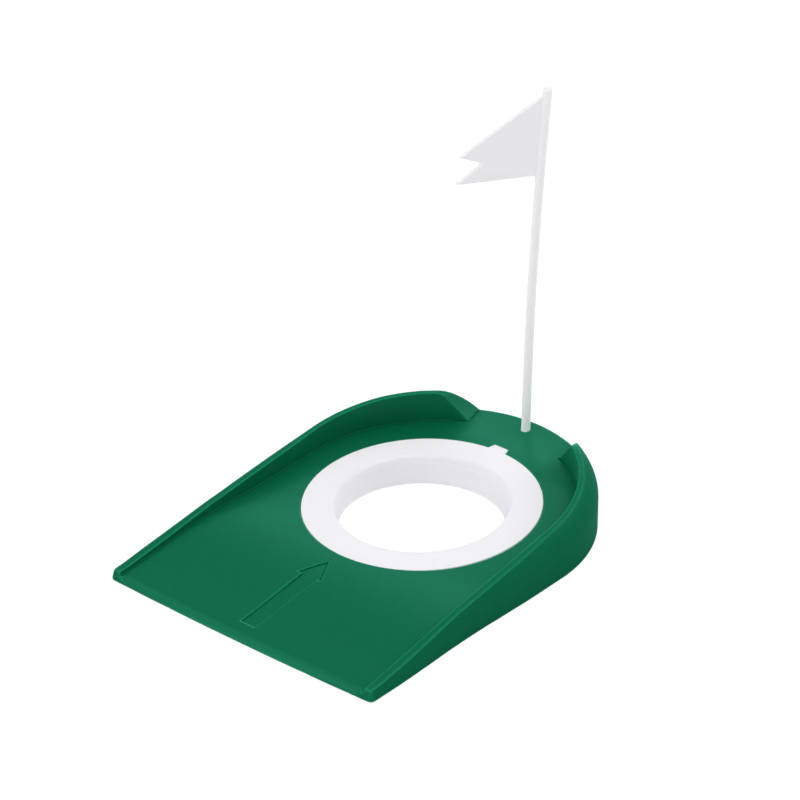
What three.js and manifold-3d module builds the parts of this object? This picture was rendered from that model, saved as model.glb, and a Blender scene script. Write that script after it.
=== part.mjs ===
// Putting cup: a ramped tray that a golf ball rolls up, a ring insert that lines
// the hole, and a flagstick that stands in a socket behind the hole.
// Millimetres. +Z up, +Y the way the ball rolls, +X to the right of the player.
// Everything is laid out from the hole's centre and shifted to the frame origin last.

import * as THREE from 'three';
import { mergeVertices } from 'three/addons/utils/BufferGeometryUtils.js';
import Module from 'manifold-3d';

// ---- overall tray: a U in plan, its front a little bowed and its sides a little waisted ----
const TRAY_WIDTH = 133;
const TRAY_LENGTH = 180;
const TRAY_HEIGHT = 26.5;
const HALF_WIDTH = TRAY_WIDTH / 2;
const ARC_CENTRE_Y = 4.6;
const REAR_Y = ARC_CENTRE_Y + HALF_WIDTH;
const FRONT_Y = REAR_Y - TRAY_LENGTH;
const FRONT_CORNER_RADIUS = 2;
const FRONT_BOW = 1.4;
const SIDE_WAIST = 0.9;
const WAIST_REAR_Y = -10.8;
const WAIST_FRONT_Y = -92.8;
const SIDE_STEPS = 14;
const FRONT_STEPS = 8;
const CORNER_STEPS = 5;

// ---- rolled shoulder on the outside of the rails: how far in it comes at the rail's
// top and how far down it starts, both growing with the rail from front to rear ----
const SHOULDER_PROFILE = [
  [0, 1.2],
  [50, 1.5],
  [70, 2.1],
  [92, 3.3],
  [114, 4.5],
  [130, 5.1],
  [164, 6.4],
];
const SHOULDER_REACH_LOW = 4;
const SHOULDER_REACH_HIGH = 13.5;
const SHOULDER_STEPS = 13;

// ---- ramp deck: a straight slope under the ring, a low crown in front of it that falls
// away to the lip, and a rise behind it ----
const DECK_Z = 10.5;
const DECK_SLOPE = 0.05;
const CROWN_HEIGHT = 1.05;
const CROWN_REAR_Y = -24;
const CROWN_FRONT_Y = -96;
const FRONT_FALL = 2.5;
const FRONT_FALL_START_Y = -40;
const FRONT_FALL_LENGTH = 68;
const REAR_RISE = 2.8;
const REAR_RISE_START_Y = 42;
const REAR_RISE_POWER = 1.4;
const LIP_Z = 0.9;
const LIP_LENGTH = 2.7;
const DECK_THICKNESS = 2.4;
const DECK_STEPS = 20;
const REAR_STEPS = 6;

// ---- rails: each profile row is a distance back from the front edge, then a height ----
const RAIL_INNER_RADIUS = 59.9;
const RAIL_INNER_CENTRE_Y = 2.2;
const RAIL_INNER_HALF_AT_FRONT = 62;
const RAIL_PROFILE = [
  [-2.5, 1.2],
  [0, 1.9],
  [0.6, 3.2],
  [1.6, 4.2],
  [2.8, 4.5],
  [7.5, 4.9],
  [28, 8],
  [53, 12.3],
  [73, 14.9],
  [93, 17.5],
  [113, 20.3],
  [130, 22.7],
  [146, 25],
  [158, 26.2],
  [164, TRAY_HEIGHT],
];
const NOTCH_HALF_AT_DECK = 25.4;
const NOTCH_HALF_AT_TOP = 33.5;
const NOTCH_FRONT_Y = 40;

// ---- arrow sunk in the ramp ----
const ARROW_X = -0.6;
const ARROW_TAIL_Y = -100.8;
const ARROW_SHOULDER_Y = -66;
const ARROW_TIP_Y = -54.2;
const ARROW_SHAFT_HALF = 3.5;
const ARROW_HEAD_HALF = 5.8;
const ARROW_DEPTH = 0.5;

// ---- ring insert ----
const RING_OUTER_RADIUS = 47.7;
const RING_INNER_RADIUS = 34.1;
const SLEEVE_FOOT_RADIUS = 33;
const RING_PROUD = 0.4;
const FLANGE_THICKNESS = 1.8;
const SLEEVE_WALL = 1.8;
const SLEEVE_BOTTOM_Z = 0.1;
const TAB_X = -0.7;
const TAB_FOOT_HALF = 4.2;
const TAB_END_HALF = 3.5;
const TAB_END_Y = 50.8;
const BORE_EASE = 1.2;

// ---- underside of the tray ----
const SKIRT_WALL = 3.2;
const CAVITY_FRONT_Y = -93.8;
const SEAT_FLOOR = 1.8;
const SEAT_MARGIN = 2.4;
const COLLAR_WALL = 2.4;
const WEB_THICKNESS = 1.8;
const WEB_BOTTOM_Z = 2;
const RAMP_RIB_X = 24;
const RAMP_RIB_REAR_Y = -28;

// ---- flagstick and its socket ----
const STICK_FOOT_Y = 65.4;
const STICK_RADIUS = 1.85;
const STICK_LEAN_DEG = 4;
const STICK_HEIGHT = 148;
const SOCKET_DEPTH = 11;
const SOCKET_WALL = 2;
const SOCKET_FLOOR = 1.6;
const FLAG_TURN_DEG = 47;
const FLAG_THICKNESS = 2.2;
const FLAG_OUTLINE = [
  [-0.9, 111.4],
  [34.5, 107],
  [24, 116.1],
  [33.3, 118.6],
  [-0.9, 146.4],
];

// ---- play between pieces, overlap of cutters, and lengths that clear the whole tray ----
const GAP = 0.3;
const CUT = 1;
const TALL = 40;
const DEEP = 20;
const ROUND_STEPS = 96;
const STICK_STEPS = 32;
const DOME_STEPS = 8;

const wasm = await Module();
wasm.setup();

// ---- turning three.js geometry into solids and back ----

function solid(geometry) {
  const bare = geometry.clone();
  bare.deleteAttribute('normal');
  bare.deleteAttribute('uv');
  const merged = mergeVertices(bare);
  const mesh = new wasm.Mesh({
    numProp: 3,
    vertProperties: new Float32Array(merged.attributes.position.array),
    triVerts: new Uint32Array(merged.index.array),
  });
  return new wasm.Manifold(mesh);
}

function toGeometry(body) {
  const mesh = body.getMesh();
  const geometry = new THREE.BufferGeometry();
  geometry.setAttribute('position', new THREE.BufferAttribute(new Float32Array(mesh.vertProperties), 3));
  geometry.setIndex(new THREE.BufferAttribute(new Uint32Array(mesh.triVerts), 1));
  const flat = geometry.toNonIndexed();
  flat.computeVertexNormals();
  return flat;
}

function shapeFrom(points) {
  return new THREE.Shape(points.map(([x, y]) => new THREE.Vector2(x, y)));
}

// A plan outline pulled up along Z.
function plate(points, bottom, top, steps = 1) {
  const geometry = new THREE.ExtrudeGeometry(shapeFrom(points), {
    depth: top - bottom,
    steps,
    bevelEnabled: false,
  });
  geometry.translate(0, 0, bottom);
  return geometry;
}

// A side-view outline, given as Y and Z, pulled across the full width.
function across(points, halfWidth) {
  const geometry = new THREE.ExtrudeGeometry(shapeFrom(points), {
    depth: 2 * halfWidth,
    bevelEnabled: false,
  });
  const turn = new THREE.Matrix4().makeBasis(
    new THREE.Vector3(0, 1, 0),
    new THREE.Vector3(0, 0, 1),
    new THREE.Vector3(1, 0, 0),
  );
  geometry.applyMatrix4(turn);
  geometry.translate(-halfWidth, 0, 0);
  return solid(geometry);
}

// A rear-view outline, given as X and Z, pulled along Y.
function along(points, fromY, toY) {
  const geometry = new THREE.ExtrudeGeometry(shapeFrom(points), {
    depth: toY - fromY,
    bevelEnabled: false,
  });
  const turn = new THREE.Matrix4().makeBasis(
    new THREE.Vector3(1, 0, 0),
    new THREE.Vector3(0, 0, 1),
    new THREE.Vector3(0, -1, 0),
  );
  geometry.applyMatrix4(turn);
  geometry.translate(0, toY, 0);
  return solid(geometry);
}

function drum(radius, bottom, top, steps = ROUND_STEPS) {
  const geometry = new THREE.CylinderGeometry(radius, radius, top - bottom, steps);
  geometry.rotateX(Math.PI / 2);
  geometry.translate(0, 0, (top + bottom) / 2);
  return solid(geometry);
}

function block(sizeX, sizeY, sizeZ, x, y, z) {
  const geometry = new THREE.BoxGeometry(sizeX, sizeY, sizeZ);
  geometry.translate(x, y, z);
  return solid(geometry);
}

// ---- tray outlines ----

function arcPoints(centreX, centreY, radius, fromDeg, toDeg, steps) {
  const points = [];
  for (let i = 0; i <= steps; i += 1) {
    const angle = THREE.MathUtils.degToRad(fromDeg + ((toDeg - fromDeg) * i) / steps);
    points.push([centreX + radius * Math.cos(angle), centreY + radius * Math.sin(angle)]);
  }
  return points;
}

// A smooth hump of height 1 between two Y positions, zero outside them.
function hump(y, rearY, frontY) {
  if (y > rearY || y < frontY) {
    return 0;
  }
  return Math.sin((Math.PI * (y - rearY)) / (frontY - rearY)) ** 2;
}

// The tray's outer U in plan: slightly bowed front, slightly waisted sides, half round rear.
function outerOutline() {
  const cornerX = HALF_WIDTH - FRONT_CORNER_RADIUS;
  const cornerY = FRONT_Y + FRONT_BOW + FRONT_CORNER_RADIUS;
  const front = [];
  for (let i = 1; i < FRONT_STEPS; i += 1) {
    const share = (2 * i) / FRONT_STEPS - 1;
    front.push([cornerX * share, FRONT_Y + FRONT_BOW * share * share]);
  }
  const side = [];
  for (let i = 1; i < SIDE_STEPS; i += 1) {
    const y = cornerY + ((ARC_CENTRE_Y - cornerY) * i) / SIDE_STEPS;
    side.push([HALF_WIDTH - SIDE_WAIST * hump(y, WAIST_REAR_Y, WAIST_FRONT_Y), y]);
  }
  return [
    ...arcPoints(-cornerX, cornerY, FRONT_CORNER_RADIUS, 180, 270, CORNER_STEPS),
    ...front,
    ...arcPoints(cornerX, cornerY, FRONT_CORNER_RADIUS, 270, 360, CORNER_STEPS),
    ...side,
    ...arcPoints(0, ARC_CENTRE_Y, HALF_WIDTH, 0, 180, ROUND_STEPS / 2),
    ...side.map(([x, y]) => [-x, y]).reverse(),
  ];
}

// A plain U in plan: straight front, straight sides, half round at the rear.
function plainOutline(radius, centreY, frontHalf, frontY) {
  return [
    [-frontHalf, frontY],
    [frontHalf, frontY],
    ...arcPoints(0, centreY, radius, 0, 180, ROUND_STEPS / 2),
  ];
}

function rearRise(y) {
  const part = THREE.MathUtils.clamp((y - REAR_RISE_START_Y) / (REAR_Y - REAR_RISE_START_Y), 0, 1);
  return REAR_RISE * part ** REAR_RISE_POWER;
}

function frontFall(y) {
  const part = Math.max(FRONT_FALL_START_Y - y, 0) / FRONT_FALL_LENGTH;
  return FRONT_FALL * part * part;
}

function deckHeight(y) {
  const crown = CROWN_HEIGHT * hump(y, CROWN_REAR_Y, CROWN_FRONT_Y);
  return DECK_Z + DECK_SLOPE * y + crown - frontFall(y) + rearRise(y);
}

// Reads a profile of [distance from the front edge, value] at a Y position.
function profileAt(profile, y) {
  const distance = y - FRONT_Y;
  const next = profile.findIndex(([at]) => at >= distance);
  if (next < 0) {
    return profile[profile.length - 1][1];
  }
  if (next === 0) {
    return profile[0][1];
  }
  const [fromAt, from] = profile[next - 1];
  const [toAt, to] = profile[next];
  return from + ((to - from) * (distance - fromAt)) / (toAt - fromAt);
}

// Everything below the ramp's running surface, lowered by `drop`.
function underDeck(drop) {
  const lipY = FRONT_Y + LIP_LENGTH;
  const rearY = REAR_Y + DEEP;
  const points = [[rearY, -DEEP], [rearY, deckHeight(rearY) - drop]];
  for (let i = 0; i <= REAR_STEPS; i += 1) {
    const y = REAR_Y + ((REAR_RISE_START_Y - REAR_Y) * i) / REAR_STEPS;
    points.push([y, deckHeight(y) - drop]);
  }
  for (let i = 0; i <= DECK_STEPS; i += 1) {
    const y = CROWN_REAR_Y + ((lipY - CROWN_REAR_Y) * i) / DECK_STEPS;
    points.push([y, deckHeight(y) - drop]);
  }
  points.push([FRONT_Y, LIP_Z - drop]);
  points.push([FRONT_Y - CUT, LIP_Z - CUT - drop]);
  points.push([FRONT_Y - CUT, -DEEP]);
  return across(points.reverse(), TRAY_WIDTH);
}

// Everything below a plane parallel to the rear deck, at height z over the hole's centre.
function underPlane(z) {
  const reach = TRAY_LENGTH;
  return across([
    [-reach, -DEEP - DECK_SLOPE * reach],
    [reach, -DEEP - DECK_SLOPE * reach],
    [reach, z + DECK_SLOPE * reach],
    [-reach, z - DECK_SLOPE * reach],
  ], TRAY_WIDTH);
}

// ---- flagstick placement: upright parts are built on the Z axis, then leaned back ----

function leaned(body) {
  const lean = THREE.MathUtils.degToRad(STICK_LEAN_DEG);
  const matrix = new THREE.Matrix4()
    .makeTranslation(0, STICK_FOOT_Y, deckHeight(STICK_FOOT_Y))
    .multiply(new THREE.Matrix4().makeRotationX(-lean));
  return body.transform(matrix.toArray());
}

// ---- the tray ----

// How far the outer wall has come in at a height z, next to a rail of the height found at y.
function shoulderInset(y, z) {
  const railZ = profileAt(RAIL_PROFILE, y);
  const reach = THREE.MathUtils.mapLinear(railZ, 0, TRAY_HEIGHT, SHOULDER_REACH_LOW, SHOULDER_REACH_HIGH);
  const rise = THREE.MathUtils.clamp(1 - (railZ - z) / reach, 0, 1);
  return profileAt(SHOULDER_PROFILE, y) * rise * rise;
}

function trayBlank() {
  const geometry = plate(outerOutline(), 0, TRAY_HEIGHT, SHOULDER_STEPS);
  const position = geometry.attributes.position;
  for (let i = 0; i < position.count; i += 1) {
    const y = position.getY(i);
    const shrink = 1 - shoulderInset(y, position.getZ(i)) / HALF_WIDTH;
    position.setX(i, position.getX(i) * shrink);
    if (y > ARC_CENTRE_Y) {
      position.setY(i, ARC_CENTRE_Y + (y - ARC_CENTRE_Y) * shrink);
    }
  }
  return solid(geometry);
}

function underRailTop() {
  const top = RAIL_PROFILE.map(([fromFront, z]) => [FRONT_Y + fromFront, z]);
  const rearY = REAR_Y + DEEP;
  return across([
    [FRONT_Y - DEEP, -DEEP],
    [rearY, -DEEP],
    [rearY, TRAY_HEIGHT],
    ...top.reverse(),
    [FRONT_Y - DEEP, RAIL_PROFILE[0][1]],
  ], TRAY_WIDTH);
}

function channelAir() {
  const outline = plainOutline(
    RAIL_INNER_RADIUS,
    RAIL_INNER_CENTRE_Y,
    RAIL_INNER_HALF_AT_FRONT,
    FRONT_Y - CUT,
  );
  return solid(plate(outline, 0, TALL)).subtract(underDeck(0));
}

function notchAir() {
  const cornerZ = deckHeight(REAR_Y);
  const flare = (NOTCH_HALF_AT_TOP - NOTCH_HALF_AT_DECK) / (TRAY_HEIGHT - cornerZ);
  const bottomHalf = NOTCH_HALF_AT_DECK - flare * cornerZ;
  const topHalf = NOTCH_HALF_AT_DECK + flare * (TALL - cornerZ);
  const wedge = along([
    [-bottomHalf, 0],
    [bottomHalf, 0],
    [topHalf, TALL],
    [-topHalf, TALL],
  ], NOTCH_FRONT_Y, REAR_Y + DEEP);
  return wedge.subtract(underDeck(0));
}

function arrowCut() {
  const outline = [
    [ARROW_X - ARROW_SHAFT_HALF, ARROW_TAIL_Y],
    [ARROW_X + ARROW_SHAFT_HALF, ARROW_TAIL_Y],
    [ARROW_X + ARROW_SHAFT_HALF, ARROW_SHOULDER_Y],
    [ARROW_X + ARROW_HEAD_HALF, ARROW_SHOULDER_Y],
    [ARROW_X, ARROW_TIP_Y],
    [ARROW_X - ARROW_HEAD_HALF, ARROW_SHOULDER_Y],
    [ARROW_X - ARROW_SHAFT_HALF, ARROW_SHOULDER_Y],
  ];
  return solid(plate(outline, 0, TALL)).subtract(underDeck(ARROW_DEPTH));
}

function tabOutline(clearance) {
  const footY = RING_OUTER_RADIUS - 2 * CUT;
  return [
    [TAB_X - TAB_FOOT_HALF - clearance, footY],
    [TAB_X + TAB_FOOT_HALF + clearance, footY],
    [TAB_X + TAB_FOOT_HALF + clearance, RING_OUTER_RADIUS],
    [TAB_X + TAB_END_HALF + clearance, TAB_END_Y + clearance],
    [TAB_X - TAB_END_HALF - clearance, TAB_END_Y + clearance],
    [TAB_X - TAB_FOOT_HALF - clearance, RING_OUTER_RADIUS],
  ];
}

const ringTopZ = DECK_Z + RING_PROUD;
const seatZ = ringTopZ - FLANGE_THICKNESS - GAP;
const sleeveOuterRadius = RING_INNER_RADIUS + SLEEVE_WALL;
const collarInnerRadius = sleeveOuterRadius + GAP;
const collarOuterRadius = collarInnerRadius + COLLAR_WALL;
const socketRadius = STICK_RADIUS + GAP;
const socketOuterRadius = socketRadius + SOCKET_WALL;

function ringRecess() {
  const disc = drum(RING_OUTER_RADIUS + GAP, 0, TALL);
  const tab = solid(plate(tabOutline(GAP), 0, TALL));
  return disc.add(tab).subtract(underPlane(seatZ));
}

// The hollow under the ramp, before the collar, seat, socket and webs are left standing in it.
function undersideHollow() {
  const half = HALF_WIDTH - SKIRT_WALL;
  const outline = plainOutline(half, ARC_CENTRE_Y, half, CAVITY_FRONT_Y);
  let hollow = solid(plate(outline, -CUT, TALL)).intersect(underDeck(DECK_THICKNESS));

  const seatRadius = RING_OUTER_RADIUS + SEAT_MARGIN;
  const seatTab = solid(plate(tabOutline(SEAT_MARGIN), -CUT, TALL));
  const seat = drum(seatRadius, -CUT, TALL).add(seatTab).subtract(underPlane(seatZ - SEAT_FLOOR));
  hollow = hollow.subtract(seat);
  hollow = hollow.subtract(drum(collarOuterRadius, -DEEP, TALL));

  const socketLength = SOCKET_DEPTH + SOCKET_FLOOR;
  hollow = hollow.subtract(leaned(drum(socketOuterRadius, -socketLength, DEEP, STICK_STEPS)));

  const webHeight = TALL - WEB_BOTTOM_Z;
  const webZ = WEB_BOTTOM_Z + webHeight / 2;
  const webLength = HALF_WIDTH - collarInnerRadius - CUT;
  const webX = collarInnerRadius + CUT + webLength / 2;
  const ribLength = RAMP_RIB_REAR_Y - CAVITY_FRONT_Y + CUT;
  const ribY = RAMP_RIB_REAR_Y - ribLength / 2;
  for (const side of [-1, 1]) {
    const web = block(webLength, WEB_THICKNESS, webHeight, side * webX, 0, webZ);
    const rib = block(WEB_THICKNESS, ribLength, webHeight, side * RAMP_RIB_X, ribY, webZ);
    hollow = hollow.subtract(web).subtract(rib);
  }
  return hollow;
}

function buildTray() {
  const socketBore = leaned(drum(socketRadius, -SOCKET_DEPTH, DEEP, STICK_STEPS));
  return trayBlank()
    .intersect(underRailTop())
    .subtract(channelAir())
    .subtract(notchAir())
    .subtract(arrowCut())
    .subtract(ringRecess())
    .subtract(undersideHollow())
    .subtract(drum(collarInnerRadius, -DEEP, TALL))
    .subtract(socketBore);
}

// ---- the ring insert: a tilted flange on an upright sleeve ----

function buildRing() {
  const tab = solid(plate(tabOutline(0), 0, TALL));
  const slab = underPlane(ringTopZ).subtract(underPlane(ringTopZ - FLANGE_THICKNESS));
  const flange = drum(RING_OUTER_RADIUS, 0, TALL).add(tab).intersect(slab);
  const sleeve = drum(sleeveOuterRadius, SLEEVE_BOTTOM_Z, TALL).intersect(underPlane(ringTopZ));

  // The bore narrows slightly to its foot. A cone set square to the sloping top eases its edge.
  const taper = new THREE.CylinderGeometry(RING_INNER_RADIUS, SLEEVE_FOOT_RADIUS, DECK_Z, ROUND_STEPS);
  taper.rotateX(Math.PI / 2);
  taper.translate(0, 0, DECK_Z / 2);
  const bore = solid(taper).add(drum(RING_INNER_RADIUS, DECK_Z, TALL));
  const easing = new THREE.CylinderGeometry(
    RING_INNER_RADIUS + 2 * BORE_EASE,
    RING_INNER_RADIUS - BORE_EASE,
    3 * BORE_EASE,
    ROUND_STEPS,
  );
  easing.rotateX(Math.PI / 2);
  easing.translate(0, 0, BORE_EASE / 2);
  easing.rotateX(Math.atan(DECK_SLOPE));
  easing.translate(0, 0, ringTopZ);
  return flange.add(sleeve).subtract(bore).subtract(solid(easing));
}

// ---- the flagstick: pole, rounded top and swallow-tailed flag in one moulding ----

function buildFlagstick() {
  const foot = -SOCKET_DEPTH + GAP;
  const crownZ = STICK_HEIGHT - STICK_RADIUS;
  const profile = [new THREE.Vector2(0, foot), new THREE.Vector2(STICK_RADIUS, foot)];
  for (let i = 0; i <= DOME_STEPS; i += 1) {
    const angle = (Math.PI / 2) * (i / DOME_STEPS);
    const radius = i === DOME_STEPS ? 0 : STICK_RADIUS * Math.cos(angle);
    profile.push(new THREE.Vector2(radius, crownZ + STICK_RADIUS * Math.sin(angle)));
  }
  profile.push(new THREE.Vector2(0, foot));
  const poleGeometry = new THREE.LatheGeometry(profile, STICK_STEPS);
  poleGeometry.rotateX(Math.PI / 2);

  const flagGeometry = new THREE.ExtrudeGeometry(shapeFrom(FLAG_OUTLINE), {
    depth: FLAG_THICKNESS,
    bevelEnabled: false,
  });
  flagGeometry.translate(0, 0, -FLAG_THICKNESS / 2);
  flagGeometry.rotateX(Math.PI / 2);
  flagGeometry.rotateZ(Math.PI + THREE.MathUtils.degToRad(FLAG_TURN_DEG));
  return leaned(solid(poleGeometry).add(solid(flagGeometry)));
}

// ---- materials and the finished group ----

const group = new THREE.Group();
group.name = 'putting_cup';

function addPiece(name, body, material) {
  const mesh = new THREE.Mesh(toGeometry(body), new THREE.MeshStandardMaterial(material));
  mesh.name = name;
  group.add(mesh);
}

// The footprint of the leaning flagstick reaches past the tray, so the origin is the
// middle of both, on the ground.
const lean = THREE.MathUtils.degToRad(STICK_LEAN_DEG);
const stickRearY = STICK_FOOT_Y + (STICK_HEIGHT - STICK_RADIUS) * Math.sin(lean) + STICK_RADIUS;
const centreY = (FRONT_Y + stickRearY) / 2;

const GREEN = { color: 0x14704c, roughness: 0.42, metalness: 0 };
const WHITE = { color: 0xf0f0f3, roughness: 0.4, metalness: 0 };

addPiece('tray', buildTray().translate([0, -centreY, 0]), GREEN);
addPiece('ring_insert', buildRing().translate([0, -centreY, 0]), WHITE);
addPiece('flagstick', buildFlagstick().translate([0, -centreY, 0]), WHITE);

export default group;
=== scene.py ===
import math

import bpy
import numpy as np
from mathutils import Matrix, Vector


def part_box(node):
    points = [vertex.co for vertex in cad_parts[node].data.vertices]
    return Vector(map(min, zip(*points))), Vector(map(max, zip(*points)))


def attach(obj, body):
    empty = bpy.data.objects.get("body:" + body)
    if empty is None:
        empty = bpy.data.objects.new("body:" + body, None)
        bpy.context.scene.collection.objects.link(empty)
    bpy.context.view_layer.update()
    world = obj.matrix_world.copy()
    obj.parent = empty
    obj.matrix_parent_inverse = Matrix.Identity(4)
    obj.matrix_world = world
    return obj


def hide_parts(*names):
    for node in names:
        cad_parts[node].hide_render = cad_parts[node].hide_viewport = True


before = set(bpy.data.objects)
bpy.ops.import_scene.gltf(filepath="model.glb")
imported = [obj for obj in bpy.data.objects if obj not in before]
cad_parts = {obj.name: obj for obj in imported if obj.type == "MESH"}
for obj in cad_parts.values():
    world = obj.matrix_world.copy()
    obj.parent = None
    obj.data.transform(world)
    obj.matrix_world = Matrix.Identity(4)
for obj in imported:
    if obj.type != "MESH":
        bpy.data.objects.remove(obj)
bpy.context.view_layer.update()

# The looks of a putting cup: a green ramped tray, a white ring insert and a white
# flagstick. Each piece is a smooth implicit form, meshed once and set onto its exact
# surface. Forms are in millimetres from the hole's centre on the ground: +X right,
# +Y the way the ball rolls, +Z up.

MM = 0.001

# ---- meshing settings ----
BEND_STEP = 0.35
BEND_LIMIT = 2.5
EDGE_GAIN = 0.6
GRADIENT_STEP = 0.02
FLATTEST_SLOPE = 0.05
TINY = 1e-9
PROJECT_STEPS = 4
PROJECT_REACH = 0.6
TRAY_CELL = (0.5, 0.5, 0.35)
RING_CELL = (0.4, 0.4, 0.3)
STICK_CELL = (0.3, 0.3, 0.3)

# Room round each form in the box it is meshed in.
TRAY_ROOM = 1.3
TRAY_ROOM_Z = 1.1
RING_ROOM = 1.0
RING_ROOM_REAR = 1.2
RING_BOX_Z = (-0.7, 15.0)
STICK_BOX_HALF = 2.6
STICK_BOX_FLY = 35.4
STICK_ROOM_FOOT = 0.6
STICK_ROOM_TOP = 0.8

tray_low, tray_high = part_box("tray")
ring_low, ring_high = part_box("ring_insert")
HALF = (tray_high.x - tray_low.x) / 2 / MM
LENGTH = (tray_high.y - tray_low.y) / MM
TOP = tray_high.z / MM

# ---- tray ----
ARC_Y = 4.6
REAR = ARC_Y + HALF
FRONT = REAR - LENGTH
HOLE = Vector((0.0, tray_high.y - REAR * MM, 0.0))
CORNER = 2.0
BOW = 1.4
WAIST = 0.9
WAIST_REAR = -10.8
WAIST_FRONT = -92.8
DECK_Z = 10.5
SLOPE = 0.05
CROWN = 1.05
CROWN_REAR = -24.0
CROWN_FRONT = -96.0
FALL = 2.5
FALL_Y = -40.0
FALL_LENGTH = 68.0
REAR_RISE = 2.8
REAR_RISE_Y = 42.0
RISE_POWER = 1.4

# Along the rail, measured back from the front edge: its height, then how far the outer
# wall has come in at its top.
RAIL_Y = np.array([
    -2.5, 0.0, 0.6, 1.6, 2.8, 7.5, 28.0, 53.0, 73.0, 93.0, 113.0, 130.0, 146.0, 158.0, 164.0])
RAIL_Z = np.array([
    0.6, 1.6, 3.0, 4.0, 4.5, 4.9, 8.0, 12.3, 14.9, 17.5, 20.3, 22.7, 25.0, 26.2, 26.5])
INSET_Y = np.array([0.0, 50.0, 70.0, 92.0, 114.0, 130.0, 164.0])
INSET = np.array([1.2, 1.5, 2.1, 3.3, 4.5, 5.1, 6.4])
REACH_LOW = 4.0
REACH_HIGH = 13.5
INNER_R = 59.9
INNER_Y = 2.2
INNER_FRONT = 62.0
NOTCH_DECK = 25.4
NOTCH_TOP = 33.5
NOTCH_FRONT = 40.0
ARROW = [
    (-4.1, -100.8), (3.0, -100.8), (2.7, -66.1), (5.0, -65.8),
    (-1.2, -54.0), (-6.5, -65.8), (-4.3, -66.1),
]
ARROW_DEPTH = 0.5

# The radii that round the tray's edges and fill its corners.
CREST_BLEND = 1.9
RAIL_BLEND = 0.45
FOOT_BLEND = 0.3
FOOT_BLEND_EXTRA = 0.7
FOOT_START = -1.0
FOOT_FULL = -5.0
SHOULDER_BLEND = 0.5
LIP_BLEND_EXTRA = 2.1
LIP_START = 8.0
LIP_FULL = 5.0
LIP_OUTER_X = 61.5
LIP_INNER_X = 59.0
GROUND_BLEND = 0.4
SUNK_BLEND = 0.25

# ---- underside ----
SKIRT = 3.2
DECK_WALL = 2.4
CAVITY_FRONT = -93.8
SEAT_FLOOR = 1.8
SEAT_MARGIN = 2.4
COLLAR_WALL = 2.4
WEB = 1.8
WEB_Z = 2.0
RIB_X = 24.0
RIB_REAR = -28.0
COLLAR_BLEND = 1.0
BOSS_BLEND = 0.8
CAVITY_BLEND = 1.0
CAVITY_MOUTH_BLEND = 0.5
BORE_BLEND = 0.4
SOCKET_BLEND = 0.3

# ---- ring insert ----
RING_R = (ring_high.x - ring_low.x) / 2 / MM
BORE_R = 34.1
BORE_FOOT_R = 33.0
PROUD = 0.4
FLANGE = 1.8
SLEEVE = 1.8
SLEEVE_Z = 0.1
TAB_X = -0.7
TAB_FOOT = 4.2
TAB_END = 3.5
TAB_Y = 50.8
TAB_ROOT_Y = 30.0
TAB_BLEND = 0.4
FLANGE_BLEND = 0.35
SLEEVE_BLEND = 0.8
HOLE_FOOT_BLEND = 0.5
HOLE_TOP_BLEND_EXTRA = 2.3
HOLE_TOP_DEPTH = 2.5
HOLE_FOOT_DEPTH = 5.0

# The CAD's gap between the parts, and the finer gap that can be seen.
GAP = 0.3
FIT = 0.08

# ---- flagstick ----
STICK_Y = 65.4
STICK_R = 1.85
LEAN = math.radians(4.0)
STICK_TOP = 147.8
SOCKET = 11.0
SOCKET_WALL = 2.0
SOCKET_FLOOR = 1.6
FLAG_TURN = math.radians(47.0)
FLAG_T = 2.2
FLAG = [(0.0, 111.3), (34.4, 107.1), (24.0, 116.1), (33.2, 118.6), (0.0, 145.6)]
STICK_BOW = 1.25
POLE_BLEND = 0.5
FLAG_BLEND = 0.5
HOIST_BLEND = 0.7


# ---- implicit form helpers: negative is inside ----

def soft_max(a, b, k):
    """The larger of two fields, rounded where they meet. k is in millimetres."""
    h = np.clip(0.5 + 0.5 * (a - b) / k, 0.0, 1.0)
    return b + (a - b) * h + k * h * (1.0 - h)


def soft_min(a, b, k):
    """The smaller of two fields, filled where they meet."""
    return -soft_max(-a, -b, k)


def ramp01(v, start, end):
    """Rises smoothly from 0 at start to 1 at end."""
    t = np.clip((v - start) / (end - start), 0.0, 1.0)
    return t * t * (3.0 - 2.0 * t)


def polygon(points, x, y):
    """Signed distance to a closed outline."""
    x, y = np.broadcast_arrays(x, y)
    best = np.full(x.shape, 1e9)
    inside = np.zeros(x.shape, bool)
    for (ax, ay), (bx, by) in zip(points, points[1:] + points[:1]):
        ex, ey = bx - ax, by - ay
        wx, wy = x - ax, y - ay
        t = np.clip((wx * ex + wy * ey) / (ex * ex + ey * ey), 0.0, 1.0)
        best = np.minimum(best, (wx - ex * t) ** 2 + (wy - ey * t) ** 2)
        crosses = (ay > y) != (by > y)
        if by != ay:
            inside ^= crosses & (x < ex * (y - ay) / ey + ax)
    return np.where(inside, -1.0, 1.0) * np.sqrt(best)


# ---- meshing: one vertex per crossed cell, then each vertex is set on the surface ----

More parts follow.
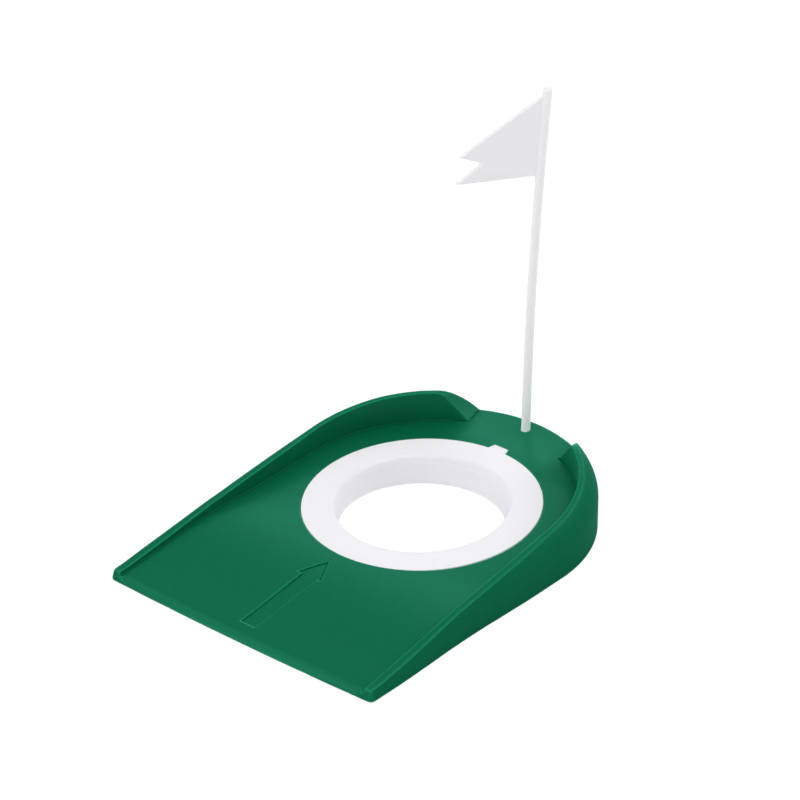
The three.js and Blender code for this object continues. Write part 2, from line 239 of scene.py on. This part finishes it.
def cell_vertices(values, cells, xs, ys, zs):
    """The mean of the points where each cell's edges cross the surface."""
    i, j, k = cells
    corner = {}
    for a in (0, 1):
        for b in (0, 1):
            for c in (0, 1):
                corner[a, b, c] = values[i + a, j + b, k + c]
    total = np.zeros((len(i), 3))
    count = np.zeros(len(i))
    for axis in range(3):
        for p in (0, 1):
            for q in (0, 1):
                low = [p, q]
                low.insert(axis, 0)
                high = list(low)
                high[axis] = 1
                f0, f1 = corner[tuple(low)], corner[tuple(high)]
                hit = (f0 < 0) != (f1 < 0)
                t = np.where(hit, f0 / np.where(hit, f0 - f1, 1.0), 0.0)
                at = np.tile(np.array(low, float), (len(i), 1))
                at[:, axis] = t
                total += at * hit[:, None]
                count += hit
    local = total / count[:, None]
    grid = [np.asarray(xs), np.asarray(ys), np.asarray(zs)]
    points = np.empty_like(local)
    for axis, index in enumerate((i, j, k)):
        step = grid[axis][1] - grid[axis][0]
        points[:, axis] = grid[axis][0] + step * (index + local[:, axis])
    return points


def surface_faces(inside, number):
    """A quad round each grid edge that crosses the surface, facing outward."""
    faces = []
    for axis in range(3):
        a = np.moveaxis(inside, axis, 0)
        n = np.moveaxis(number, axis, 0)
        crossing = (a[:-1] != a[1:])[:, 1:-1, 1:-1]
        i, j, k = np.nonzero(crossing)
        j, k = j + 1, k + 1
        quad = np.stack([n[i, j - 1, k - 1], n[i, j, k - 1], n[i, j, k], n[i, j - 1, k]], 1)
        flip = ~a[i, j, k]
        if axis == 1:
            flip = ~flip
        quad[flip] = quad[flip][:, ::-1]
        faces.append(quad)
    return np.concatenate(faces)


def gradient(field, p, step=GRADIENT_STEP):
    """The field's slope at each point, by central differences."""
    g = np.empty_like(p)
    for axis in range(3):
        up, down = p.copy(), p.copy()
        up[:, axis] += step
        down[:, axis] -= step
        change = field(up[:, 0], up[:, 1], up[:, 2]) - field(down[:, 0], down[:, 1], down[:, 2])
        g[:, axis] = change
    return g / (2 * step)


def bend(field, p):
    """How sharply the surface turns: positive on outer edges, negative in inner corners."""
    total = -6.0 * field(p[:, 0], p[:, 1], p[:, 2])
    for axis in range(3):
        for step in (-BEND_STEP, BEND_STEP):
            q = p.copy()
            q[:, axis] += step
            total += field(q[:, 0], q[:, 1], q[:, 2])
    return np.clip(total / BEND_STEP ** 2, -BEND_LIMIT, BEND_LIMIT)


def mesh_from_field(name, field, low, high, cell, place):
    """Meshes the field's zero surface. place turns form millimetres into frame metres."""
    counts = [int(math.ceil((h - l) / c)) + 1 for l, h, c in zip(low, high, cell)]
    xs, ys, zs = [l + c * np.arange(n) for l, c, n in zip(low, cell, counts)]
    values = field(xs[:, None, None], ys[None, :, None], zs[None, None, :])
    values = np.ascontiguousarray(np.broadcast_to(values, counts))
    inside = values < 0
    total = np.zeros([n - 1 for n in counts], np.int8)
    for a in (0, 1):
        for b in (0, 1):
            for c in (0, 1):
                total += inside[a:counts[0] - 1 + a, b:counts[1] - 1 + b, c:counts[2] - 1 + c]
    cells = np.nonzero((total > 0) & (total < 8))
    number = np.full(total.shape, -1, np.int64)
    number[cells] = np.arange(len(cells[0]))
    points = cell_vertices(values, cells, xs, ys, zs)
    reach = PROJECT_REACH * min(cell)
    for _ in range(PROJECT_STEPS):
        f = field(points[:, 0], points[:, 1], points[:, 2])
        g = gradient(field, points)
        step = -(f / np.maximum((g * g).sum(1), FLATTEST_SLOPE))[:, None] * g
        size = np.linalg.norm(step, axis=1, keepdims=True)
        points += step * np.minimum(1.0, reach / np.maximum(size, TINY))
    faces = surface_faces(inside, number)
    normals = gradient(field, points)
    normals /= np.maximum(np.linalg.norm(normals, axis=1, keepdims=True), TINY)
    edge = EDGE_GAIN * bend(field, points)
    matrix = np.array(place)
    points = points @ matrix[:3, :3].T + matrix[:3, 3]
    turn = matrix[:3, :3] / MM
    normals = normals @ turn.T
    mesh = bpy.data.meshes.new(name)
    mesh.vertices.add(len(points))
    mesh.vertices.foreach_set("co", points.astype(np.float32).ravel())
    mesh.loops.add(faces.size)
    mesh.loops.foreach_set("vertex_index", faces.astype(np.int32).ravel())
    mesh.polygons.add(len(faces))
    mesh.polygons.foreach_set("loop_start", np.arange(0, faces.size, 4, dtype=np.int32))
    mesh.polygons.foreach_set("loop_total", np.full(len(faces), 4, np.int32))
    mesh.polygons.foreach_set("use_smooth", np.ones(len(faces), bool))
    mesh.update()
    mesh.validate()
    mesh.normals_split_custom_set_from_vertices([tuple(n) for n in normals])
    edges = mesh.attributes.new("edge", "FLOAT", "POINT")
    edges.data.foreach_set("value", edge.astype(np.float32))
    piece = bpy.data.objects.new(name, mesh)
    bpy.context.scene.collection.objects.link(piece)
    return piece


# ---- tray form ----

def hump(y, rear, front):
    """Rises from 0 to 1 and back between two places along the tray."""
    return np.sin(np.pi * np.clip((y - rear) / (front - rear), 0.0, 1.0)) ** 2


def deck_z(y):
    """Height of the deck: a slope, a low crown, a fall to the lip and a rise at the rear."""
    rise = REAR_RISE * np.clip((y - REAR_RISE_Y) / (REAR - REAR_RISE_Y), 0.0, 1.0) ** RISE_POWER
    fall = FALL * (np.maximum(FALL_Y - y, 0.0) / FALL_LENGTH) ** 2
    return DECK_Z + SLOPE * y + CROWN * hump(y, CROWN_REAR, CROWN_FRONT) - fall + rise


def rail_z(y):
    """Height of the rails' top."""
    return np.interp(y - FRONT, RAIL_Y, RAIL_Z)


def u_plan(x, y, half, front, corner):
    """Plan distance to a U: square front with rounded corners, half round rear."""
    side = np.abs(x) - (half - corner)
    nose = (front + corner) - y
    round_corner = np.hypot(np.maximum(side, 0.0), np.maximum(nose, 0.0))
    square = round_corner + np.minimum(np.maximum(side, nose), 0.0) - corner
    return np.where(y > ARC_Y, np.hypot(x, y - ARC_Y) - half, square)


def outer_plan(x, y):
    """Plan distance to the tray's outline, with its bowed front and waisted sides."""
    half = HALF - WAIST * hump(y, WAIST_REAR, WAIST_FRONT)
    front = FRONT + BOW * (x / HALF) ** 2
    return u_plan(x, y, half, front, CORNER)


def inner_plan(x, y):
    """Plan distance to the channel between the rails, which widens toward the front."""
    taper = (INNER_FRONT - INNER_R) / (INNER_Y - FRONT)
    straight = np.abs(x) - INNER_R - taper * (INNER_Y - y)
    return np.where(y > INNER_Y, np.hypot(x, y - INNER_Y) - INNER_R, straight)


def lean_coords(x, y, z):
    """Turns form coordinates into the flagstick's own: across, back, up along the stick."""
    foot_z = deck_z(STICK_Y)
    dy, dz = y - STICK_Y, z - foot_z
    c, s = math.cos(LEAN), math.sin(LEAN)
    return x, dy * c - dz * s, dy * s + dz * c


def tab_plan(x, y, grow):
    """Plan distance to the ring's tab, grown by a margin."""
    width = TAB_FOOT + (TAB_END - TAB_FOOT) * np.clip((y - RING_R) / (TAB_Y - RING_R), 0.0, 1.0)
    sides = np.abs(x - TAB_X) - width - grow
    return np.maximum(np.maximum(sides, y - TAB_Y - grow), TAB_ROOT_Y - y)


def tray_field(x, y, z):
    """The whole tray: outer wall, rails and deck, then what is sunk in it from both sides."""
    r = np.hypot(x, y)
    above_deck = z - deck_z(y)
    rail = rail_z(y)
    plan = outer_plan(x, y)

    # The outer wall curves in near its top.
    inset = np.interp(y - FRONT, INSET_Y, INSET)
    reach = REACH_LOW + (REACH_HIGH - REACH_LOW) * rail / TOP
    climb = np.clip(1.0 - (rail - z) / reach, 0.0, 1.0)
    steep = np.sqrt(1.0 + (2.0 * inset * climb / reach) ** 2)
    wall = (plan + inset * climb ** 2) / steep

    # The rails end in slanting faces either side of the open rear.
    notch_mid = deck_z(REAR)
    flare = (NOTCH_TOP - NOTCH_DECK) / (TOP - notch_mid)
    cut = (NOTCH_DECK + flare * (z - notch_mid) - np.abs(x)) / math.hypot(1.0, flare)
    ceiling = soft_max(z - rail, np.minimum(cut, y - NOTCH_FRONT), CREST_BLEND)
    rails = soft_max(ceiling, -inner_plan(x, y), RAIL_BLEND)
    corner_blend = FOOT_BLEND + FOOT_BLEND_EXTRA * ramp01(cut, FOOT_START, FOOT_FULL)
    land = soft_min(rails, above_deck, corner_blend)
    lip = ramp01(y, FRONT + LIP_START, FRONT + LIP_FULL) * ramp01(np.abs(x), LIP_OUTER_X, LIP_INNER_X)
    body = soft_max(wall, land, SHOULDER_BLEND + LIP_BLEND_EXTRA * lip)
    body = soft_max(body, -z, GROUND_BLEND)

    arrow = polygon(ARROW, x, y)
    body = soft_max(body, -np.maximum(arrow, -above_deck - ARROW_DEPTH), SUNK_BLEND)

    ring_top = DECK_Z + PROUD + SLOPE * y
    seat = ring_top - FLANGE - GAP
    recess_plan = np.minimum(r - RING_R - FIT, tab_plan(x, y, FIT))
    body = soft_max(body, -np.maximum(recess_plan, seat - z), SUNK_BLEND)

    # Hollow underneath, except for the seat, the collar, the stick's boss, webs and ribs.
    bore = BORE_R + SLEEVE + GAP
    collar = r - bore - COLLAR_WALL
    cavity = np.maximum(u_plan(x, y, HALF - SKIRT, CAVITY_FRONT, CORNER), above_deck + DECK_WALL)
    seat_plan = np.minimum(r - RING_R - SEAT_MARGIN, tab_plan(x, y, SEAT_MARGIN))
    kept = np.maximum(seat_plan, seat - SEAT_FLOOR - z)
    kept = soft_min(kept, collar, COLLAR_BLEND)
    lx, ly, lz = lean_coords(x, y, z)
    stick = np.hypot(lx, ly)
    boss = np.maximum(stick - STICK_R - GAP - SOCKET_WALL, -lz - SOCKET - SOCKET_FLOOR)
    kept = soft_min(kept, boss, BOSS_BLEND)
    web = np.maximum(np.abs(y) - WEB / 2, WEB_Z - z)
    rib = np.maximum(np.maximum(np.abs(np.abs(x) - RIB_X) - WEB / 2, WEB_Z - z), y - RIB_REAR)
    kept = soft_min(kept, np.minimum(web, rib), BOSS_BLEND)
    cavity = soft_max(cavity, -kept, CAVITY_BLEND)
    body = soft_max(body, -cavity, CAVITY_MOUTH_BLEND)

    body = soft_max(body, bore - r, BORE_BLEND)
    socket = np.maximum(stick - STICK_R - FIT, -lz - SOCKET)
    return soft_max(body, -socket, SOCKET_BLEND)


# ---- ring form ----

def ring_field(x, y, z):
    """A flange that follows the deck's slope, on an upright sleeve, with a tab at the rear."""
    r = np.hypot(x, y)
    top = DECK_Z + PROUD + SLOPE * y
    under_top = z - top
    plan = soft_min(r - RING_R, tab_plan(x, y, 0.0), TAB_BLEND)
    flange = soft_max(plan, np.maximum(under_top, -under_top - FLANGE), FLANGE_BLEND)
    sleeve = np.maximum(np.maximum(r - BORE_R - SLEEVE, under_top), SLEEVE_Z - z)
    body = soft_min(flange, sleeve, SLEEVE_BLEND)
    near_top = ramp01(under_top, -HOLE_FOOT_DEPTH, -HOLE_TOP_DEPTH)
    hole = BORE_FOOT_R + (BORE_R - BORE_FOOT_R) * np.clip(z / DECK_Z, 0.0, 1.0)
    return soft_max(body, hole - r, HOLE_FOOT_BLEND + HOLE_TOP_BLEND_EXTRA * near_top)


# ---- flagstick form: u towards the flag's fly, v through the flag, w along the stick ----

def stick_field(u, v, w):
    """A slightly bowed round pole with a domed top, and the flag."""
    along = np.clip(w / STICK_TOP, 0.0, 1.0)
    bent = u - STICK_BOW * np.sin(np.pi * along)
    over = np.maximum(w - STICK_TOP + STICK_R, 0.0)
    dome = np.sqrt(bent * bent + v * v + over * over) - STICK_R
    pole = soft_max(dome, -w - SOCKET + GAP, POLE_BLEND)
    flag = soft_max(polygon(FLAG, u, w), np.abs(v) - FLAG_T / 2, FLAG_BLEND)
    return soft_min(pole, flag, HOIST_BLEND)


# ---- materials ----

# Noise scales, then how far each noise shifts the colour and the roughness.
CLOUD_SCALE = 35.0
SPECK_SCALE = 900.0
FINE_SCALE = 2600.0
SCUFF_SCALE = 1500.0
SCUFF_TURN = 0.35
SCUFF_STRETCH = 0.03
SCUFF_START = 0.62
SCUFF_CONTRAST = 4.0
CLOUD_COLOUR = 0.2
SPECK_COLOUR = 0.1
SCUFF_COLOUR = 0.12
CLOUD_ROUGH = 0.12
FINE_ROUGH = 0.10
SCUFF_ROUGH = 0.1
GRAIN_HEIGHT = 0.00006
SHEEN_BLEND = 0.35
# Painted highlight: how much the edge bend lightens the colour of outer edges.
PAINTED_EDGE_HIGHLIGHT = 0.6
# Painted shade: how much the edge bend darkens the colour of inner corners and takes their sheen away.
PAINTED_CORNER_SHADE = 1.0

# Painted reflection on the deck between the rails' rear ends: stronger sheen there stands in
# for the white backdrop's reflection. Half its width, where it starts along the tray, and how fast it
# fades.
REFLECTION_HALF = 29.0 * MM
REFLECTION_Y = HOLE.y + 43.0 * MM
REFLECTION_FADE = 10.0 * MM


class Nodes:
    """A short way to write a node tree."""

    def __init__(self, name):
        self.material = bpy.data.materials.new(name)
        self.material.use_nodes = True
        self.tree = self.material.node_tree
        self.tree.nodes.clear()
        self.output = self.tree.nodes.new("ShaderNodeOutputMaterial")

    def add(self, kind, **values):
        node = self.tree.nodes.new(kind)
        for key, value in values.items():
            if key in node.inputs:
                self.put(node.inputs[key], value)
            else:
                setattr(node, key, value)
        return node

    def put(self, socket, value):
        if isinstance(value, bpy.types.NodeSocket):
            self.tree.links.new(value, socket)
        else:
            socket.default_value = value

    def math(self, operation, a, b=0.0, clamp=False):
        node = self.tree.nodes.new("ShaderNodeMath")
        node.operation = operation
        node.use_clamp = clamp
        self.put(node.inputs[0], a)
        self.put(node.inputs[1], b)
        return node.outputs[0]

    def noise(self, position, scale, detail=3.0):
        node = self.add("ShaderNodeTexNoise", Scale=scale, Detail=detail)
        self.put(node.inputs["Vector"], position)
        return node.outputs["Fac"]

    def mix(self, factor, a, b):
        node = self.tree.nodes.new("ShaderNodeMix")
        node.data_type = "RGBA"
        self.put(node.inputs[0], factor)
        self.put(node.inputs[6], a)
        self.put(node.inputs[7], b)
        return node.outputs[2]


def between_rails(n, position):
    """1 on the deck behind the ring, between the rails' ends, and 0 elsewhere."""
    axes = n.add("ShaderNodeSeparateXYZ", Vector=position)
    from_edge = n.math("SUBTRACT", REFLECTION_HALF, n.math("ABSOLUTE", axes.outputs["X"]))
    across = n.math("DIVIDE", from_edge, REFLECTION_FADE, clamp=True)
    along = n.math("DIVIDE", n.math("SUBTRACT", axes.outputs["Y"], REFLECTION_Y), REFLECTION_FADE, clamp=True)
    return n.math("MULTIPLY", across, along)


def plastic(name, colour, dark, light, roughness, sheen, sheen_strength, grain, painted_reflection=0.0):
    """Moulded plastic: cloudy colour, fine grain, painted highlight on outer edges, painted shade in
    inner corners, scuffs.

    Colours are linear. The last argument is how much stronger the painted sheen on the deck behind the
    ring is; it stands in for the white backdrop's reflection there.
    """
    n = Nodes(name)
    place = n.add("ShaderNodeTexCoord").outputs["Object"]
    cloud = n.noise(place, CLOUD_SCALE, 4.0)
    speck = n.noise(place, SPECK_SCALE, 2.0)
    fine = n.noise(place, FINE_SCALE, 2.0)
    edge = n.add("ShaderNodeAttribute", attribute_name="edge").outputs["Fac"]
    # Painted highlight: outer edges get a lighter colour.
    painted_highlight = n.math("MULTIPLY", edge, PAINTED_EDGE_HIGHLIGHT, clamp=True)
    # Painted shade: inner corners get a darker colour.
    painted_shade = n.math("MULTIPLY", edge, -PAINTED_CORNER_SHADE, clamp=True)
    base = n.mix(n.math("MULTIPLY", cloud, CLOUD_COLOUR), colour, dark)
    base = n.mix(n.math("MULTIPLY", speck, SPECK_COLOUR), base, light)
    base = n.mix(painted_highlight, base, light)
    base = n.mix(painted_shade, base, dark)

    stretched = n.add("ShaderNodeMapping", Vector=place)
    stretched.inputs["Rotation"].default_value = (0.0, 0.0, SCUFF_TURN)
    stretched.inputs["Scale"].default_value = (1.0, SCUFF_STRETCH, 1.0)
    scuff = n.noise(stretched.outputs["Vector"], SCUFF_SCALE, 2.0)
    scuff = n.math("MULTIPLY", n.math("SUBTRACT", scuff, SCUFF_START), SCUFF_CONTRAST, clamp=True)
    base = n.mix(n.math("MULTIPLY", scuff, SCUFF_COLOUR), base, light)

    patchy = n.math("MULTIPLY", n.math("SUBTRACT", cloud, 0.5), CLOUD_ROUGH)
    grainy = n.math("MULTIPLY", n.math("SUBTRACT", fine, 0.5), FINE_ROUGH)
    rough = n.math("ADD", n.math("ADD", patchy, roughness), grainy)
    rough = n.math("ADD", n.math("MULTIPLY", scuff, SCUFF_ROUGH), rough)
    bump = n.add("ShaderNodeBump", Strength=grain, Distance=GRAIN_HEIGHT, Height=fine)
    normal = bump.outputs["Normal"]
    body = n.add("ShaderNodeBsdfPrincipled", Roughness=rough, Normal=normal)
    n.put(body.inputs["Base Color"], base)
    body.inputs["Specular IOR Level"].default_value = 0.0
    gloss = n.add("ShaderNodeBsdfAnisotropic", Color=sheen, Roughness=rough, Normal=normal)
    facing = n.add("ShaderNodeLayerWeight", Blend=SHEEN_BLEND).outputs["Fresnel"]
    # The painted shade in inner corners also takes the sheen away there.
    clear_of_painted_shade = n.math("SUBTRACT", 1.0, painted_shade, clamp=True)
    shine = n.math("MULTIPLY", facing, sheen_strength)
    # Painted reflection: stronger sheen on the deck behind the ring.
    if painted_reflection:
        gain = n.math("ADD", n.math("MULTIPLY", between_rails(n, place), painted_reflection), 1.0)
        shine = n.math("MULTIPLY", shine, gain)
    cover = n.math("MULTIPLY", shine, clear_of_painted_shade, clamp=True)
    both = n.tree.nodes.new("ShaderNodeMixShader")
    n.put(both.inputs["Fac"], cover)
    n.put(both.inputs[1], body.outputs["BSDF"])
    n.put(both.inputs[2], gloss.outputs["BSDF"])
    n.put(n.output.inputs["Surface"], both.outputs["Shader"])
    return n.material


# The green tray gets the painted reflection on the deck behind the ring.
green = plastic(
    "tray_green",
    colour=(0.001, 0.114, 0.047, 1.0), dark=(0.0004, 0.066, 0.024, 1.0), light=(0.006, 0.25, 0.12, 1.0),
    roughness=0.36, sheen=(0.17, 0.8, 0.57, 1.0), sheen_strength=0.86, grain=0.25, painted_reflection=1.3)
white = plastic(
    "insert_white",
    colour=(0.855, 0.85, 0.888, 1.0), dark=(0.816, 0.811, 0.85, 1.0), light=(0.885, 0.88, 0.915, 1.0),
    roughness=0.42, sheen=(0.8, 0.8, 0.84, 1.0), sheen_strength=0.1, grain=0.15)
stick_white = plastic(
    "stick_white",
    colour=(0.91, 0.905, 0.93, 1.0), dark=(0.86, 0.855, 0.88, 1.0), light=(0.95, 0.945, 0.96, 1.0),
    roughness=0.38, sheen=(0.8, 0.8, 0.84, 1.0), sheen_strength=0.1, grain=0.12)

# ---- pieces ----

from_hole = Matrix.Translation(HOLE) @ Matrix.Scale(MM, 4)
coarse = 1.0

tray = mesh_from_field(
    "tray_shell", tray_field,
    (-HALF - TRAY_ROOM, FRONT - TRAY_ROOM, -TRAY_ROOM_Z),
    (HALF + TRAY_ROOM, REAR + TRAY_ROOM, TOP + TRAY_ROOM_Z),
    [side * coarse for side in TRAY_CELL], from_hole)
tray.data.materials.append(green)
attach(tray, "tray_body")
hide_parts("tray")

ring = mesh_from_field(
    "ring_shell", ring_field,
    (-RING_R - RING_ROOM, -RING_R - RING_ROOM, RING_BOX_Z[0]),
    (RING_R + RING_ROOM, TAB_Y + RING_ROOM_REAR, RING_BOX_Z[1]),
    [side * coarse for side in RING_CELL], from_hole)
ring.data.materials.append(white)
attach(ring, "ring_body")
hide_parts("ring_insert")

stick_foot = Vector((0.0, STICK_Y, float(deck_z(STICK_Y))))
stand = (
    from_hole
    @ Matrix.Translation(stick_foot)
    @ Matrix.Rotation(-LEAN, 4, "X")
    @ Matrix.Rotation(math.pi + FLAG_TURN, 4, "Z")
)
flagstick = mesh_from_field(
    "flagstick_moulding", stick_field,
    (-STICK_BOX_HALF, -STICK_BOX_HALF, -SOCKET - STICK_ROOM_FOOT),
    (STICK_BOX_FLY, STICK_BOX_HALF, STICK_TOP + STICK_ROOM_TOP),
    STICK_CELL, stand)
flagstick.data.materials.append(stick_white)
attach(flagstick, "flagstick_body")
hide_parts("flagstick")

# ---- floor, light and camera ----

# The camera sees the floor as a glowing pale sheet with faint shade. Light that bounces
# sees it as plain paper, darker in reflections.
FLOOR_GLOW = 0.87
FLOOR_SHADE = 0.2
FLOOR_MIRRORED = (0.25, 0.25, 0.25, 1.0)
FLOOR_HALF = 6.0
FLOOR_DROP = 0.0002
FIBRE_SCALE = 400.0
PAPER_LIGHT = (0.93, 0.93, 0.93, 1.0)
PAPER_DARK = (0.91, 0.91, 0.91, 1.0)
WORLD_LIGHT = 0.292
PANEL_SIZE = 0.9
PANEL_REACH = 1.3
# Soft panels round the cup: degrees round from the camera's side, degrees up, watts.
PANELS = [
    (0, 15, 1.4), (65, 45, 4.2), (115, 38, 4.5), (172, 17, 4.8),
    (240, 45, 2.6), (300, 15, 4.2), (300, 45, 3.0), (0, 89.9, 2.2),
]

floor_mesh = bpy.data.meshes.new("floor")
corners = [(-1, -1), (1, -1), (1, 1), (-1, 1)]
floor_mesh.from_pydata([(x * FLOOR_HALF, y * FLOOR_HALF, 0) for x, y in corners], [], [(0, 1, 2, 3)])
floor = bpy.data.objects.new("floor", floor_mesh)
bpy.context.scene.collection.objects.link(floor)
floor.location.z = -FLOOR_DROP
paper = Nodes("floor_paper")
fibre = paper.noise(paper.add("ShaderNodeTexCoord").outputs["Object"], FIBRE_SCALE)
tone = paper.mix(fibre, PAPER_LIGHT, PAPER_DARK)
rays = paper.add("ShaderNodeLightPath")
tone = paper.mix(rays.outputs["Is Glossy Ray"], tone, FLOOR_MIRRORED)
sheet = paper.add("ShaderNodeBsdfDiffuse", Color=tone)
pale = paper.add("ShaderNodeBsdfDiffuse", Color=(FLOOR_SHADE, FLOOR_SHADE, FLOOR_SHADE, 1.0))
glow = paper.add("ShaderNodeEmission", Strength=FLOOR_GLOW)
seen = paper.tree.nodes.new("ShaderNodeAddShader")
paper.put(seen.inputs[0], pale.outputs["BSDF"])
paper.put(seen.inputs[1], glow.outputs["Emission"])
floor_mix = paper.tree.nodes.new("ShaderNodeMixShader")
paper.put(floor_mix.inputs["Fac"], rays.outputs["Is Camera Ray"])
paper.put(floor_mix.inputs[1], sheet.outputs["BSDF"])
paper.put(floor_mix.inputs[2], seen.outputs["Shader"])
paper.put(paper.output.inputs["Surface"], floor_mix.outputs["Shader"])
floor_mesh.materials.append(paper.material)

world = bpy.data.worlds.new("studio")
bpy.context.scene.world = world
world.use_nodes = True
backdrop = world.node_tree.nodes["Background"]
backdrop.inputs["Color"].default_value = (1.0, 1.0, 1.0, 1.0)
backdrop.inputs["Strength"].default_value = WORLD_LIGHT

# The camera: turned and raised about the hole, then shifted aside, up and ahead (metres).
AZIMUTH = math.radians(40.477)
ELEVATION = math.radians(28.857)
ROLL = math.radians(0.2055)
DISTANCE = 1.30528
ASIDE = 0.0082
ABOVE = 0.05005
AHEAD = -0.0008
LENS = 148.72
SENSOR = 36.0
FAR_CLIP = 20.0
PANEL_AIM_Z = 0.01

level = math.cos(ELEVATION)
back = Vector((math.sin(AZIMUTH) * level, -math.cos(AZIMUTH) * level, math.sin(ELEVATION)))
right = Vector((math.cos(AZIMUTH), math.sin(AZIMUTH), 0.0))
up = back.cross(right)
turned_right = right * math.cos(ROLL) - up * math.sin(ROLL)
turned_up = up * math.cos(ROLL) + right * math.sin(ROLL)
camera_data = bpy.data.cameras.new("camera")
camera_data.lens = LENS
camera_data.sensor_width = SENSOR
camera_data.clip_end = FAR_CLIP
camera = bpy.data.objects.new("camera", camera_data)
bpy.context.scene.collection.objects.link(camera)
place = Matrix((turned_right, turned_up, back)).transposed().to_4x4()
aim = HOLE + Vector((0.0, AHEAD, 0.0))
place.translation = aim + back * DISTANCE - turned_right * ASIDE + turned_up * ABOVE
camera.matrix_world = place
bpy.context.scene.camera = camera

for number, (round_by, height, watts) in enumerate(PANELS):
    turn = math.atan2(back.y, back.x) + math.radians(round_by)
    rise = math.radians(height)
    away = Vector((math.cos(turn) * math.cos(rise), math.sin(turn) * math.cos(rise), math.sin(rise)))
    panel_data = bpy.data.lights.new("panel_%d" % number, "AREA")
    panel_data.shape = "SQUARE"
    panel_data.size = PANEL_SIZE
    panel_data.energy = watts
    panel = bpy.data.objects.new("panel_%d" % number, panel_data)
    bpy.context.scene.collection.objects.link(panel)
    panel.location = HOLE + Vector((0.0, 0.0, PANEL_AIM_Z)) + away * PANEL_REACH
    panel.rotation_euler = (-away).to_track_quat("-Z", "Y").to_euler()
bpy.context.scene.view_settings.view_transform = "Standard"
